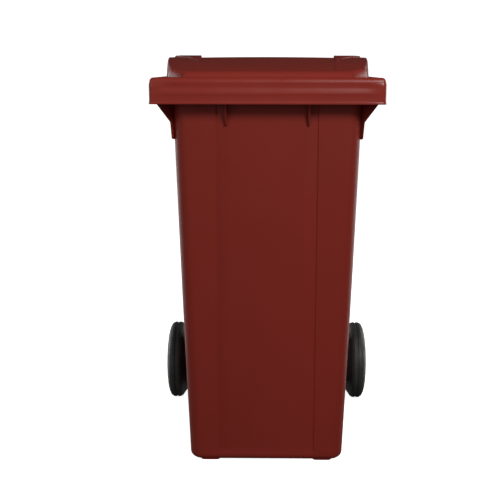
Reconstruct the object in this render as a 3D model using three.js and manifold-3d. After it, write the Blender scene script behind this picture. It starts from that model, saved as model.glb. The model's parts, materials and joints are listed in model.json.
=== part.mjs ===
// Two-wheeled litter bin of about 120 litres: a tapered moulded tub on two rubber-tyred wheels, with a
// wedge-shaped lid that swings over the back on two hinge pins. Millimetres, +Z up, the front faces -Y.
// Depths in the tables below are measured from the front face of the lid's skirt; the group is moved at
// the end so that the origin lies under the middle of the whole bin, on the ground.
import * as THREE from "three";
import { mergeGeometries, mergeVertices } from "three/addons/utils/BufferGeometryUtils.js";
import Module from "manifold-3d";

const wasm = await Module();
wasm.setup();

// ---------------------------------------------------------------- driving dimensions
const DEPTH = 583; // lid skirt to the back of the tyres
const WIDTH = 520; // over the wheels
const FIT = 0.3; // air between touching pieces

const TUB = {
  wall: 3.5,
  floorUnder: 2, // underside of the floor above the ground
  top: 840, // top face of the rim
  halfWidthFoot: 171,
  halfWidthTop: 198.7,
  frontFoot: 55,
  frontTop: 33,
  cornerFoot: 30,
  cornerTop: 30,
  footFillet: 13,
  panelHalf: 106, // half width of the sunken front panel
  panelStep: 4, // width of the sloping edge of a panel
  panelDepth: 2,
  sidePanel: [127, 322], // depths between which the side walls are sunken
};
const STEP = { low: 205, high: 228, frontLow: 388, frontFoot: 384, backHigh: 446, backTop: 472 };
const RIM = {
  half: 234,
  front: 6,
  back: 492,
  corner: 14,
  thick: 3.5,
  lip: 3.5,
  lipBottom: 803,
  backLip: 815,
};
const LID = {
  wall: 3.2,
  halfFront: 242,
  halfBack: 246,
  back: 482,
  corner: 10,
  skirtBottom: 797,
  flangeTop: 849,
  line: 818, // height at which the skirt starts to step in
  lineStep: 9, // height of the sloping step
  lineSet: 2.2,
};
// The raised wedge of the lid: half widths of its foot and of its top edge at a few depths.
const DOME = {
  depths: [42, 52, 98, 200, 300, 430],
  foot: [176, 180, 210, 222, 234, 245],
  top: [172, 172, 207, 220, 232, 243],
  ridge: 52, // depth at which the top begins
  heightFront: 861,
  heightBack: 894,
  crown: 3,
};
const HINGE = {
  depth: 548,
  height: 875,
  pin: 6,
  lugRadius: 25,
  lug: [171.5, 228],
  outerEar: [231.5, 239.5],
  innerEar: [157, 168],
};
const ARM = { start: 230, far: 236, rise: 2.6, webTop: 892.5 };
const HANDLE = { radius: 15, support: 5 };
const AXLE = { depth: 483, height: 100, radius: 10, half: 252, bracketRadius: 24 };
const WHEEL = { radius: 100, inside: 207, outside: WIDTH / 2, seat: 68, boss: 22, bossEnd: 246 };
const BUSH = { outer: 13, end: 205.3 };
const ROUND = 48; // sides of the large round pieces
const SMALL_ROUND = 24;

// ---------------------------------------------------------------- solids and their joins
function solid(geometry) {
  const bare = geometry.index ? geometry.toNonIndexed() : geometry.clone();
  const places = new THREE.BufferGeometry().setAttribute("position", bare.getAttribute("position"));
  const merged = mergeVertices(places, 1e-3);
  return new wasm.Manifold(
    new wasm.Mesh({
      numProp: 3,
      vertProperties: new Float32Array(merged.attributes.position.array),
      triVerts: new Uint32Array(merged.index.array),
    }),
  );
}

function geometryOf(manifold) {
  const mesh = manifold.getMesh();
  const places = new Float32Array(mesh.numVert * 3);
  for (let i = 0; i < mesh.numVert; i++) {
    places.set(mesh.vertProperties.subarray(i * mesh.numProp, i * mesh.numProp + 3), i * 3);
  }
  const geometry = new THREE.BufferGeometry();
  geometry.setAttribute("position", new THREE.BufferAttribute(places, 3));
  geometry.setIndex(new THREE.BufferAttribute(mesh.triVerts, 1));
  geometry.computeVertexNormals();
  return geometry;
}

const joined = (solids) => solids.reduce((a, b) => a.add(b));

const mirrored = (body) => body.mirror([1, 0, 0]);

const cut = (base, tools) => tools.reduce((a, b) => a.subtract(b), base);

// A box between two corners.
function block(x0, x1, y0, y1, z0, z1) {
  const g = new THREE.BoxGeometry(x1 - x0, y1 - y0, z1 - z0);
  g.translate((x0 + x1) / 2, (y0 + y1) / 2, (z0 + z1) / 2);
  return solid(g);
}

// A plate of outline [depth, height] points, standing across the bin from x0 to x1.
function sidePlate(outline, x0, x1) {
  const shape = new THREE.Shape(outline.map(([y, z]) => new THREE.Vector2(y, z)));
  const g = new THREE.ExtrudeGeometry(shape, { depth: x1 - x0, bevelEnabled: false });
  g.applyMatrix4(new THREE.Matrix4().set(0, 0, 1, x0, 1, 0, 0, 0, 0, 1, 0, 0, 0, 0, 0, 1));
  return solid(g);
}

// A round bar along X, centred on a depth and a height.
function barAlongX(radius, x0, x1, depth, height, sides = SMALL_ROUND) {
  const g = new THREE.CylinderGeometry(radius, radius, x1 - x0, sides);
  g.rotateZ(Math.PI / 2);
  g.translate((x0 + x1) / 2, depth, height);
  return solid(g);
}

// A turned piece about the X axis; its profile is a closed list of [x, radius] points.
function turned(profile, sides = ROUND) {
  const points = profile.map(([x, r]) => new THREE.Vector2(r, x));
  points.push(points[0].clone());
  const area = points.reduce((sum, p, i) => {
    const q = points[(i + 1) % points.length];
    return sum + p.x * q.y - q.x * p.y;
  }, 0);
  if (area < 0) points.reverse();
  const g = new THREE.LatheGeometry(points, sides);
  g.rotateZ(-Math.PI / 2);
  g.rotateX(Math.PI / 2);
  const made = solid(g);
  if (made.volume() > 0) return made;
  throw new Error("a turned profile runs the wrong way round");
}

// Points on a circle in the [depth, height] plane, from one angle to another in degrees.
function arc(depth, height, radius, from, to, steps) {
  return Array.from({ length: steps + 1 }, (_, i) => {
    const a = THREE.MathUtils.degToRad(from + ((to - from) * i) / steps);
    return [depth + radius * Math.cos(a), height + radius * Math.sin(a)];
  });
}

// A closed skin through level outlines that all have the same number of points, lowest first.
function loft(levels) {
  const count = levels[0].points.length;
  const places = levels.flatMap(({ z, points }) => points.flatMap((p) => [p.x, p.y, z]));
  const faces = [];
  for (let k = 0; k + 1 < levels.length; k++) {
    for (let i = 0; i < count; i++) {
      const a = k * count + i;
      const b = k * count + ((i + 1) % count);
      faces.push(a, b, b + count, a, b + count, a + count);
    }
  }
  const cap = (level, flip) =>
    THREE.ShapeUtils.triangulateShape(levels[level].points, []).forEach(([a, b, c]) => {
      const first = level * count;
      faces.push(first + a, first + (flip ? c : b), first + (flip ? b : c));
    });
  cap(0, true);
  cap(levels.length - 1, false);
  const g = new THREE.BufferGeometry();
  g.setAttribute("position", new THREE.Float32BufferAttribute(places, 3));
  g.setIndex(faces);
  return solid(g);
}

// ---------------------------------------------------------------- outlines
// A rounded rectangle seen from above, counter-clockwise from the left end of the front edge.
// extra holds points that stand between the corners of the front, right, back and left edges.
function roundedOutline(plan) {
  const { half, halfBack = half, front, back, corner, cornerBack = corner, extra = {}, steps = 5 } = plan;
  const points = [];
  const bend = (x, y, r, from) => {
    for (let i = 0; i <= steps; i++) {
      const a = THREE.MathUtils.degToRad(from + (90 * i) / steps);
      points.push(new THREE.Vector2(x + r * Math.cos(a), y + r * Math.sin(a)));
    }
  };
  const between = (edge) => (extra[edge] || []).forEach(([x, y]) => points.push(new THREE.Vector2(x, y)));
  bend(-half + corner, front + corner, corner, 180);
  between("front");
  bend(half - corner, front + corner, corner, 270);
  between("right");
  bend(halfBack - cornerBack, back - cornerBack, cornerBack, 0);
  between("back");
  bend(-halfBack + cornerBack, back - cornerBack, cornerBack, 90);
  between("left");
  return points;
}

const mix = (a, b, t) => a + (b - a) * t;

// Depth of the back wall at a height: forward of the step below it, and far back above it.
function backWall(z) {
  if (z <= STEP.low) return mix(STEP.frontFoot, STEP.frontLow, z / STEP.low);
  if (z <= STEP.high) return mix(STEP.frontLow, STEP.backHigh, (z - STEP.low) / (STEP.high - STEP.low));
  return mix(STEP.backHigh, STEP.backTop, (z - STEP.high) / (TUB.top - STEP.high));
}

// The tub's outline at a height, drawn in by inset; the panels fade out towards the floor.
function tubOutline(z, inset, stepRise = 0) {
  const t = z / TUB.top;
  const half = mix(TUB.halfWidthFoot, TUB.halfWidthTop, t) - inset;
  const front = mix(TUB.frontFoot, TUB.frontTop, t) + inset;
  const back = backWall(z - stepRise) - inset;
  const corner = mix(TUB.cornerFoot, TUB.cornerTop, t) - Math.min(inset, 20);
  const sunk = TUB.panelDepth;
  const fade = 1 - THREE.MathUtils.smoothstep(z, 740, 770);
  const sideSunk = sunk * fade * THREE.MathUtils.smoothstep(z, 30, 60);
  const [near, far] = TUB.sidePanel;
  const panel = TUB.panelHalf;
  const edge = panel - TUB.panelStep;
  const side = (sign) => [
    [sign * half, near],
    [sign * (half - sideSunk), near + TUB.panelStep],
    [sign * (half - sideSunk), far - TUB.panelStep],
    [sign * half, far],
  ];
  return roundedOutline({
    half,
    front,
    back,
    corner,
    extra: {
      front: [[-panel, front], [-edge, front + sunk], [edge, front + sunk], [panel, front]],
      right: side(1),
      left: side(-1).reverse(),
    },
  });
}

// ---------------------------------------------------------------- the tub
function tubSkin(inset, floor, top, stepRise) {
  const levels = [];
  const fillet = TUB.footFillet - Math.min(inset, 6);
  for (let i = 0; i <= 3; i++) {
    const a = (Math.PI / 2) * (i / 3);
    const z = floor + fillet * (1 - Math.cos(a));
    levels.push({ z, points: tubOutline(z, inset + fillet * (1 - Math.sin(a)), stepRise) });
  }
  for (const z of [40, 60, STEP.low + stepRise, STEP.high + stepRise, 400, 580, 740, 770, top]) {
    levels.push({ z, points: tubOutline(z, inset, stepRise) });
  }
  return loft(levels);
}

function rim() {
  const plan = (inset) =>
    roundedOutline({
      half: RIM.half - inset,
      front: RIM.front + inset,
      back: RIM.back - inset,
      corner: RIM.corner - inset,
    });
  const outer = loft([
    { z: RIM.lipBottom, points: plan(0) },
    { z: TUB.top, points: plan(0) },
  ]);
  const under = loft([
    { z: RIM.lipBottom - 1, points: plan(RIM.lip) },
    { z: TUB.top - RIM.thick, points: plan(RIM.lip) },
  ]);
  const shortBack = block(-300, 300, 470, 520, RIM.lipBottom - 1, RIM.backLip);
  return cut(outer, [under, shortBack]);
}

// A fin on the front wall that holds up the rim.
function frontFin(x) {
  const top = TUB.top - 2;
  const front = RIM.front + 2;
  const inWall = 42;
  return sidePlate([[front, top], [front, 809], [34, 750], [inWall, 750], [inWall, top]], x - 2, x + 2);
}

// A rib on a side wall that holds up the rim. sweep is how far it runs back for each step outwards.
function sideRib(sign, depth, low, sweep) {
  const top = TUB.top - 2;
  const outline = [[186, top], [232, top], [232, 803], [224, 796], [200, 755], [197.5, low], [183, low]];
  const shape = new THREE.Shape(outline.map(([x, z]) => new THREE.Vector2(sign * x, z)));
  const g = new THREE.ExtrudeGeometry(shape, { depth: 4, bevelEnabled: false });
  g.rotateX(Math.PI / 2);
  g.translate(0, depth + 4, 0);
  const root = 190;
  const shear = new THREE.Matrix4().makeShear(sign * sweep, 0, 0, 0, 0, 0);
  g.applyMatrix4(shear);
  g.translate(0, -root * sweep, 0);
  return solid(g);
}

function rimRibs() {
  return [-1, 1].flatMap((sign) => [
    frontFin(sign * 86),
    sideRib(sign, 66, 721, -1.2),
    ...[165, 290, 410].map((depth) => sideRib(sign, depth, 761, 0)),
  ]);
}

// One ear's outline: a gusset from the back wall that rises to a round end about the hinge axis.
function earOutline(radius) {
  const { depth, height } = HINGE;
  const gusset = [[466, 767], [478, 767], [500, 809], [depth - 6, height - radius - 4]];
  const shoulder = [[496, 884], [490, 856], [490, 835], [466, 835]];
  return [...gusset, ...arc(depth, height, radius, -80, 110, 8), ...shoulder];
}

function hingeAndHandle() {
  const { depth, height } = HINGE;
  const right = [HINGE.outerEar, HINGE.innerEar].map(([a, b]) => sidePlate(earOutline(19), a, b));
  const ears = [...right, ...right.map(mirrored)];
  const support = sidePlate(earOutline(HANDLE.radius - 1), -HANDLE.support, HANDLE.support);
  const bar = barAlongX(HANDLE.radius, -HINGE.innerEar[0] - 1, HINGE.innerEar[0] + 1, depth, height);
  return joined([...ears, support, bar]);
}

// Four plates under the step hold the axle. The outer two have a round boss that faces the wheel.
function axleBrackets() {
  const { depth, height, bracketRadius } = AXLE;
  const round = arc(depth, height, bracketRadius, -110, 40, 8);
  const outline = [[380, 30], ...round, [462, 300], [440, 300], [440, 224], [380, 200]];
  const outer = sidePlate(outline, 162, 170);
  const inner = sidePlate(outline, 64, 72);
  const boss = barAlongX(18, 166, 175.5, depth, height);
  return [outer, inner, boss, ...[outer, inner, boss].map(mirrored)];
}

function feet() {
  return [-1, 1].map((sign) => {
    const plan = (inset) => {
      const pad = { half: 17 - inset, front: 66 + inset, back: 132 - inset, corner: 8 - inset, steps: 3 };
      return roundedOutline(pad).map((p) => new THREE.Vector2(p.x + sign * 121, p.y));
    };
    return loft([
      { z: 0, points: plan(2) },
      { z: 2, points: plan(0) },
      { z: TUB.floorUnder + 2, points: plan(0) },
    ]);
  });
}

const BUFFER_SPOTS = [[-150, 20], [150, 20], [-216, 345], [216, 345]];

function tub() {
  const outer = tubSkin(0, TUB.floorUnder, TUB.top, 0);
  const inner = tubSkin(TUB.wall, TUB.floorUnder + TUB.wall + 1, TUB.top + 7, TUB.wall);
  const backRib = [[440, 240], [456, 240], [476, 800], [476, 835], [440, 835]];
  const backRibs = [-112, 112].map((x) => sidePlate(backRib, x - 3, x + 3));
  const fittings = [hingeAndHandle(), ...axleBrackets(), ...feet()];
  const whole = joined([outer, rim(), ...rimRibs(), ...backRibs, ...fittings]);
  const pinHole = barAlongX(HINGE.pin + FIT, 146, 300, HINGE.depth, HINGE.height);
  const axleHole = barAlongX(AXLE.radius + 0.4, -300, 300, AXLE.depth, AXLE.height);
  const bufferHoles = BUFFER_SPOTS.map(([x, y]) => {
    const g = new THREE.CylinderGeometry(3.9, 3.9, 12, 16);
    g.rotateX(Math.PI / 2);
    g.translate(x, y, TUB.top);
    return solid(g);
  });
  return cut(whole, [inner, pinHole, mirrored(pinHole), axleHole, ...bufferHoles]);
}

// ---------------------------------------------------------------- the lid
const lidHalf = (y) => mix(LID.halfFront, LID.halfBack, y / LID.back);

// Reads a value off a table at a depth, in straight lines between its entries.
function along(y, values) {
  const k = DOME.depths.findIndex((d) => d > y);
  if (k < 0) return values.at(-1);
  if (k === 0) return values[0];
  const [before, after] = DOME.depths.slice(k - 1, k + 1);
  return mix(values[k - 1], values[k], (y - before) / (after - before));
}

// The dome's half width at its foot and its top edge, and the height of its top, at a depth.
function domeSection(y) {
  const way = THREE.MathUtils.clamp((y - DOME.ridge) / (LID.back - DOME.ridge), 0, 1);
  const rise = 1 - (1 - way) ** 2;
  return {
    foot: along(y, DOME.foot),
    top: along(y, DOME.top),
    height: mix(DOME.heightFront, DOME.heightBack, rise),
    crown: DOME.crown * rise,
  };
}

// The wedge that rises above the flange, as a closed block drawn in by inset on every side but the bottom.
function domeBlock(inset, bottom) {
  const across = [-1, -0.66, -0.33, 0, 0.33, 0.66, 1];
  const [front, ridge, ...rest] = DOME.depths;
  const rows = [front + inset, ridge + inset * 0.8, ...rest, 365, LID.back - inset].sort((a, b) => a - b);
  const grid = rows.map((y, k) => {
    const s = domeSection(y);
    const top = (u) => s.height + s.crown * (1 - u * u) - inset;
    const flat = k === 0;
    const foot = [s.foot - inset, LID.flangeTop - inset];
    return [
      [-foot[0], y, foot[1]],
      ...across.map((u) => [u * (s.top - inset), y, flat ? foot[1] : top(u)]),
      [foot[0], y, foot[1]],
    ];
  });
  const width = grid[0].length;
  const places = [...grid.flat(), ...grid.flat().map(([x, y]) => [x, y, bottom])];
  const lower = grid.length * width;
  const faces = [];
  const quad = (a, b, c, d) => faces.push(a, b, c, a, c, d);
  for (let r = 0; r + 1 < grid.length; r++) {
    for (let c = 0; c + 1 < width; c++) {
      const a = r * width + c;
      quad(a, a + 1, a + 1 + width, a + width);
      quad(lower + a, lower + a + width, lower + a + width + 1, lower + a + 1);
    }
    const left = r * width;
    const right = left + width - 1;
    quad(left, left + width, lower + left + width, lower + left);
    quad(right + width, right, lower + right, lower + right + width);
  }
  for (let c = 0; c + 1 < width; c++) {
    const back = (grid.length - 1) * width + c;
    quad(c + 1, c, lower + c, lower + c + 1);
    quad(back, back + 1, lower + back + 1, lower + back);
  }
  const g = new THREE.BufferGeometry();
  g.setAttribute("position", new THREE.Float32BufferAttribute(places.flat(), 3));
  g.setIndex(faces);
  return solid(g);
}

// A prism of plan points [x, depth] between two heights.
function prism(plan, z0, z1) {
  const shape = new THREE.Shape(plan.map(([x, y]) => new THREE.Vector2(x, y)));
  const g = new THREE.ExtrudeGeometry(shape, { depth: z1 - z0, bevelEnabled: false });
  g.translate(0, 0, z0);
  return solid(g);
}

// One hinge arm: a ramp, pointed in front, that climbs out of the dome, and the round lug behind it.
function hingeArm() {
  const { depth, height, lugRadius, lug } = HINGE;
  const [near, far] = lug;
  const onDome = (y, above) => [y, domeSection(y).height + above];
  const under = [[475, 856], [500, 858], [depth - 8, height - lugRadius + 1]];
  const lugRound = arc(depth, height, lugRadius, -100, 135, 14);
  const halfWay = ARM.rise - 0.4;
  const ramp = [[480, ARM.webTop + 2.5], onDome(400, ARM.rise), onDome(320, halfWay), onDome(ARM.start, 0.2)];
  const inDome = [onDome(ARM.start, -2), onDome(320, -2), onDome(400, -2), [475, 880]];
  const side = sidePlate([...under, ...lugRound, ...ramp, ...inDome], near - 25, far + 12);
  const plan = [
    [near - 20, ARM.start - 5],
    [ARM.far, 466],
    [ARM.far, 474],
    [far, 484],
    [far, 600],
    [near, 600],
    [near, 484],
  ];
  return side.intersect(prism(plan, 800, 950));
}

function lid() {
  const plan = (inset) =>
    roundedOutline({
      half: LID.halfFront - inset,
      halfBack: LID.halfBack - inset,
      front: inset,
      back: LID.back - inset,
      corner: LID.corner - inset,
      cornerBack: 5 - inset / 2,
    });
  const skirt = loft([
    { z: LID.skirtBottom, points: plan(0) },
    { z: LID.line, points: plan(0) },
    { z: LID.line + LID.lineStep, points: plan(LID.lineSet) },
    { z: LID.flangeTop - 3, points: plan(LID.lineSet) },
    { z: LID.flangeTop, points: plan(LID.lineSet + 3) },
  ]);
  const cavity = loft([
    { z: LID.skirtBottom - 1, points: plan(LID.wall) },
    { z: LID.flangeTop - LID.wall, points: plan(LID.wall) },
  ]);
  const openHalf = LID.halfBack - LID.wall - 0.3;
  const [y0, y1] = [LID.back - 12, LID.back + 5];
  const openBack = block(-openHalf, openHalf, y0, y1, LID.skirtBottom - 1, TUB.top + 2.5);
  const outer = skirt.add(domeBlock(0, LID.flangeTop - 6));
  const shell = cut(outer, [cavity, domeBlock(LID.wall, LID.flangeTop - 12), openBack]);
  const arm = hingeArm();
  const holes = barAlongX(HINGE.pin + 0.4, -300, 300, HINGE.depth, HINGE.height);
  return cut(joined([shell, arm, mirrored(arm)]), [holes]);
}

// ---------------------------------------------------------------- small pieces
function hingePin() {
  const face = HINGE.outerEar[1] + FIT;
  const shank = barAlongX(HINGE.pin, 148, face + 1, HINGE.depth, HINGE.height);
  return shank.add(barAlongX(9.5, face, face + 4.5, HINGE.depth, HINGE.height));
}

function rubberBuffer() {
  const z = TUB.top;
  const below = -RIM.thick - FIT;
  const stem = [[0, -9], [2.2, -9], [5, below - 1.5], [5, below], [3.5, below], [3.5, FIT]];
  const profile = [...stem, [8, FIT], [8, 4], [6.6, 5.1], [0, 5.1]];
  const g = new THREE.LatheGeometry(profile.map(([r, h]) => new THREE.Vector2(r, h)), 16);
  g.rotateX(Math.PI / 2);
  g.translate(0, 0, z);
  return solid(g);
}

function axleRod() {
  const { half, radius } = AXLE;
  const chamfer = 1.5;
  const right = [[half - chamfer, radius], [half, radius - chamfer], [half, 0.001]];
  const left = right.map(([x, r]) => [-x, r]).reverse();
  return turned([...left, ...right], SMALL_ROUND);
}

function tyre() {
  const { inside: i, outside: o, seat: s, radius: R } = WHEEL;
  const inner = s + FIT;
  return turned([
    [i + 1, inner], [i, s + 6], [i + 4, s + 12], [i + 11, R - 12], [i + 15, R - 5], [i + 20, R - 0.9],
    [i + 24, R], [i + 28.6, R - 0.3], [i + 29.4, R - 2], [i + 31.4, R - 2], [i + 32.2, R - 0.3],
    [o - 15, R - 0.5], [o - 9, R - 4.5], [o - 4.4, R - 13], [o - 1.5, R - 23], [o - 1, inner],
  ]);
}

function wheelHub() {
  const { inside: i, outside: o, seat: s, boss, bossEnd } = WHEEL;
  const bore = BUSH.outer + FIT;
  const disc = turned([
    [205, bore], [205, boss], [226, boss + 2], [228, s - 6], [i + 2, s - 6], [i + 2, s],
    [o - 1.5, s], [o, s - 1.5], [o, s - 6], [236, s - 7], [235, boss + 4], [235, boss],
    [bossEnd, boss], [bossEnd, bore],
  ]);
  const ribs = Array.from({ length: 8 }, (_, k) => {
    const g = new THREE.BoxGeometry(31, 4, s - boss - 3);
    g.translate(229.5, 0, (s + boss - 5) / 2);
    g.rotateX((k * Math.PI) / 4 + Math.PI / 8);
    return solid(g);
  });
  const capSeat = sleeve(237.5, 262, boss, boss + 2.9, ROUND);
  return cut(joined([disc, ...ribs]), [capSeat]);
}

// A plain ring along X.
const sleeve = (x0, x1, inner, outer, sides = SMALL_ROUND) =>
  turned([[x0, inner], [x0, outer], [x1, outer], [x1, inner]], sides);

const wheelBush = () => sleeve(BUSH.end, WHEEL.bossEnd - FIT, AXLE.radius + FIT, BUSH.outer);
const spacerSleeve = () => sleeve(176, BUSH.end - 0.8, AXLE.radius + FIT, 15);
const thrustWasher = () => sleeve(246.4, 248, AXLE.radius + FIT, 17);

function pushRing() {
  const bore = AXLE.radius + FIT;
  return turned([[248.4, bore], [248.4, 15.5], [249.4, 15.5], [250.6, 12.5], [250.6, bore]], SMALL_ROUND);
}

function hubCap() {
  const { boss, outside } = WHEEL;
  const r = boss + FIT;
  const o = outside;
  return turned([
    [238, r], [238, r + 2], [o - 6, r + 2], [o - 1.6, r - 2], [o, r - 8], [o, 0.001],
    [o - 2.4, 0.001], [o - 2.4, r - 9], [o - 4, r - 3], [o - 7, r],
  ]);
}

// ---------------------------------------------------------------- finishes and assembly
const finish = (color, roughness, metalness = 0) =>
  new THREE.MeshStandardMaterial({ color, roughness, metalness });
const FINISH = {
  redPlastic: finish(0x6b2620, 0.5),
  redLid: finish(0x752a23, 0.42),
  blackPlastic: finish(0x1d1e1d, 0.55),
  rubber: finish(0x232423, 0.8),
  steel: finish(0xa7a9aa, 0.35, 1),
  nylon: finish(0xd9d6cb, 0.5),
};

const bin = new THREE.Group();

function place(name, body, material, { x = 0, y = 0, z = 0, mirror = false } = {}) {
  const mesh = new THREE.Mesh(geometryOf(mirror ? body.mirror([1, 0, 0]) : body), material);
  mesh.name = name;
  mesh.position.set(x, y, z);
  bin.add(mesh);
}

place("tub", tub(), FINISH.redPlastic);
place("lid", lid(), FINISH.redLid);
const BUFFER_NAMES = ["front_left", "front_right", "side_left", "side_right"];
BUFFER_SPOTS.forEach(([x, y], i) => {
  place(`lid_buffer_${BUFFER_NAMES[i]}`, rubberBuffer(), FINISH.rubber, { x, y });
});
place("axle", axleRod(), FINISH.steel, { y: AXLE.depth, z: AXLE.height });
for (const [side, mirror] of [["left", true], ["right", false]]) {
  const spot = { y: AXLE.depth, z: AXLE.height, mirror };
  place(`hinge_pin_${side}`, hingePin(), FINISH.blackPlastic, { mirror });
  place(`axle_spacer_${side}`, spacerSleeve(), FINISH.blackPlastic, spot);
  place(`tyre_${side}`, tyre(), FINISH.rubber, spot);
  place(`wheel_hub_${side}`, wheelHub(), FINISH.blackPlastic, spot);
  place(`wheel_bush_${side}`, wheelBush(), FINISH.nylon, spot);
  place(`thrust_washer_${side}`, thrustWasher(), FINISH.steel, spot);
  place(`push_ring_${side}`, pushRing(), FINISH.steel, spot);
  place(`hub_cap_${side}`, hubCap(), FINISH.blackPlastic, spot);
}
bin.position.y = -DEPTH / 2;

export default bin;
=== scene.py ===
"""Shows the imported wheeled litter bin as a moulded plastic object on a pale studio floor.

Every sub-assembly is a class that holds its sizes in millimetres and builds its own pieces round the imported
frame. Depths are counted from the front face of the lid's skirt, so that a size reads as it does on the bin.
"""

from __future__ import annotations

import json
import logging
import math
from collections.abc import Callable, Sequence
from dataclasses import dataclass, field
from enum import Enum

import bmesh
import bpy
from mathutils import Matrix, Vector

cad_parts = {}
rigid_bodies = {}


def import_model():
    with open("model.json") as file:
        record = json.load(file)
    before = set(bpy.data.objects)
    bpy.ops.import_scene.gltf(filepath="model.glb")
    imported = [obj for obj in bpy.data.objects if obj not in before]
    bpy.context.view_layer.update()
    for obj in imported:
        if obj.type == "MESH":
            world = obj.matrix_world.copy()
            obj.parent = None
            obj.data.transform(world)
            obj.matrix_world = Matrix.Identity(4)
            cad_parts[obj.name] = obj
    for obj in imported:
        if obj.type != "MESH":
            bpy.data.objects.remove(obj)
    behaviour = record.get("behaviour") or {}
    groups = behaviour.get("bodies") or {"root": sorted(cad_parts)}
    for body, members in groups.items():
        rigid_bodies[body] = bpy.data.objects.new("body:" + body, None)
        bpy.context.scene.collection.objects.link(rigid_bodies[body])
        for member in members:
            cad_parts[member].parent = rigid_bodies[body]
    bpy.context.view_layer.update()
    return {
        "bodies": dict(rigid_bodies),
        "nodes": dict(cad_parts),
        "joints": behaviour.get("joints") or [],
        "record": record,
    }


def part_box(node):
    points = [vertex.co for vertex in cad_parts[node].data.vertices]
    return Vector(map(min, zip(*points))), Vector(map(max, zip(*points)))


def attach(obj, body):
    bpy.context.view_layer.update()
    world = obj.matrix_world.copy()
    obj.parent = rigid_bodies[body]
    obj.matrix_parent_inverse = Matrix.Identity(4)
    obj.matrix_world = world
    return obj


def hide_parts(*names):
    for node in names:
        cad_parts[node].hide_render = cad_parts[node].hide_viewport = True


MM = 0.001
Point = tuple[float, float, float]
Flat = tuple[float, float]

log = logging.getLogger("bin")


# --- small sums
def mix(a: float, b: float, t: float) -> float:
    """Returns the value a share t of the way from a to b."""
    return a + (b - a) * t


def ease(value: float, low: float, high: float) -> float:
    """Returns 0 below low, 1 above high and a smooth rise between them."""
    t = min(max((value - low) / (high - low), 0.0), 1.0)
    return t * t * (3 - 2 * t)


def along(value: float, places: Sequence[float], values: Sequence[float]) -> float:
    """Reads a table in straight lines between its entries.

    Args:
        value: where to read.
        places: the entries' places, rising.
        values: the entries' values.

    Returns:
        The value there, held level beyond both ends.
    """
    if value <= places[0]:
        return values[0]
    for k in range(1, len(places)):
        if value <= places[k]:
            return mix(values[k - 1], values[k], (value - places[k - 1]) / (places[k] - places[k - 1]))
    return values[-1]


def spread(low: float, high: float, count: int) -> list[float]:
    """Returns count + 1 even steps from low to high, both ends included."""
    return [mix(low, high, k / count) for k in range(count + 1)]


def soften(corners: Sequence[Sequence[float]], radius: float, steps: int = 5) -> list[Flat]:
    """Rounds the corners of a closed outline.

    Args:
        corners: (a, b) points, or (a, b, radius) for a corner with a radius of its own.
        radius: the radius of the other corners.
        steps: faces round each corner.

    Returns:
        The rounded outline's points.
    """
    rounded: list[Flat] = []
    count = len(corners)
    for i, corner in enumerate(corners):
        before, here, after = (Vector(corners[k % count][:2]) for k in (i - 1, i, i + 1))
        own = corner[2] if len(corner) > 2 else radius
        to_before, to_after = before - here, after - here
        half_angle = to_before.angle(to_after) / 2
        reach = own / max(math.tan(half_angle), 1e-3)
        reach = min(reach, to_before.length * 0.49, to_after.length * 0.49)
        if own < 1e-6 or half_angle > math.radians(88):
            rounded.append(tuple(here))
            continue
        start = here + to_before.normalized() * reach
        end = here + to_after.normalized() * reach
        for t in spread(0, 1, steps):
            rounded.append(tuple(start * (1 - t) ** 2 + here * 2 * t * (1 - t) + end * t * t))
    return rounded


def arc(centre: Flat, radius: float, start: float, end: float, steps: int) -> list[Flat]:
    """Returns points on a circle from one angle to another, in degrees."""
    angles = [math.radians(a) for a in spread(start, end, steps)]
    return [(centre[0] + radius * math.cos(a), centre[1] + radius * math.sin(a)) for a in angles]


# --- the frame
@dataclass(frozen=True)
class Datum:
    """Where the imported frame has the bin, so that pieces are placed by it.

    front is the lid skirt's front face in metres; the hinge and the axle are (depth, height) in millimetres.
    """

    front: float
    hinge: Flat
    axle: Flat

    @classmethod
    def of(cls, frame: dict) -> Datum:
        """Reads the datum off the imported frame.


        Returns:
            The datum of this bin.
        """
        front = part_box("lid")[0].y
        places = {j["name"]: j["pos_m"] for j in frame["joints"]}

        def spot(name: str) -> Flat:
            """Returns a joint's depth and height in millimetres."""
            return ((places[name][1] - front) / MM, places[name][2] / MM)

        return cls(front, spot("lid_hinge"), spot("wheel_left_spin"))

    def at(self, point: Point) -> Vector:
        """Returns a point in millimetres, with its depth from the front, as a place in the frame."""
        return Vector((point[0] * MM, self.front + point[1] * MM, point[2] * MM))


class Ends(Enum):
    """How a row of rings ends."""

    CAPPED = "a flat face closes each end"
    JOINED = "the last ring meets the first"
    OPEN = "the ends stay open, because other faces meet them"


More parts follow.
